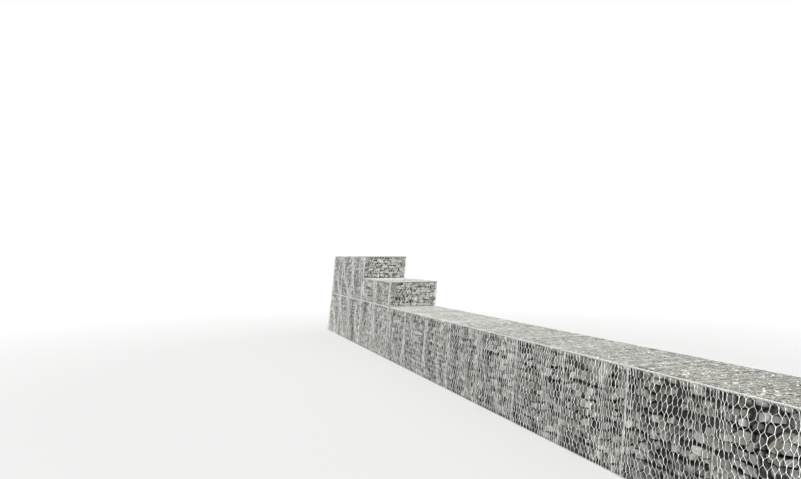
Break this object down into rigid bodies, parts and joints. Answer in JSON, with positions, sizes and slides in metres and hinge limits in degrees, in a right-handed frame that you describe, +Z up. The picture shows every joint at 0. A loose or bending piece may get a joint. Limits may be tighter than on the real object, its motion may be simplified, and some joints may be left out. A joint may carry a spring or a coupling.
{
  "type": "gabion wall",
  "caption": "Retaining wall of laced wire baskets filled with rock, its face leaning back, stepping up to a second course at the far end.",
  "frame": {"origin": "under the middle of the wall, at ground level", "axes": "+X along the wall to the near end, -Y out of the face, +Z up"},
  "size_m": [13.9996, 1.2122, 2],
  "materials": {
    "rock": "broken rock, rough, mid grey with a few brown and green faces",
    "wire": "galvanised wire, dull zinc with slight sheen"
  },
  "bodies": {
    "root": {"course_lacing": "wire", "half_basket_diaphragm": "wire", "half_basket_edge_wires": "wire", "half_basket_lid_frame": "wire", "half_basket_rock_fill": "rock", "joint_lacing_back": "wire", "joint_lacing_front": "wire", "lid_lacing_back": "wire", "lid_lacing_front": "wire", "lower_basket_1_diaphragm": "wire", "lower_basket_1_edge_wires": "wire", "lower_basket_1_lid_frame": "wire", "lower_basket_1_rock_fill": "rock", "lower_basket_2_diaphragm": "wire", "lower_basket_2_edge_wires": "wire", "lower_basket_2_lid_frame": "wire", "lower_basket_2_rock_fill": "rock", "lower_basket_3_diaphragm": "wire", "lower_basket_3_edge_wires": "wire", "lower_basket_3_lid_frame": "wire", "lower_basket_3_rock_fill": "rock", "lower_basket_4_diaphragm": "wire", "lower_basket_4_edge_wires": "wire", "lower_basket_4_lid_frame": "wire", "lower_basket_4_rock_fill": "rock", "lower_basket_5_diaphragm": "wire", "lower_basket_5_edge_wires": "wire", "lower_basket_5_lid_frame": "wire", "lower_basket_5_rock_fill": "rock", "lower_basket_6_diaphragm": "wire", "lower_basket_6_edge_wires": "wire", "lower_basket_6_lid_frame": "wire", "lower_basket_6_rock_fill": "rock", "lower_basket_7_diaphragm": "wire", "lower_basket_7_edge_wires": "wire", "lower_basket_7_lid_frame": "wire", "lower_basket_7_rock_fill": "rock", "upper_basket_1_diaphragm": "wire", "upper_basket_1_edge_wires": "wire", "upper_basket_1_lid_frame": "wire", "upper_basket_1_rock_fill": "rock", "upper_basket_2_edge_wires": "wire", "upper_basket_2_lid_frame": "wire", "upper_basket_2_rock_fill": "rock"}
  },
  "joints": []
}
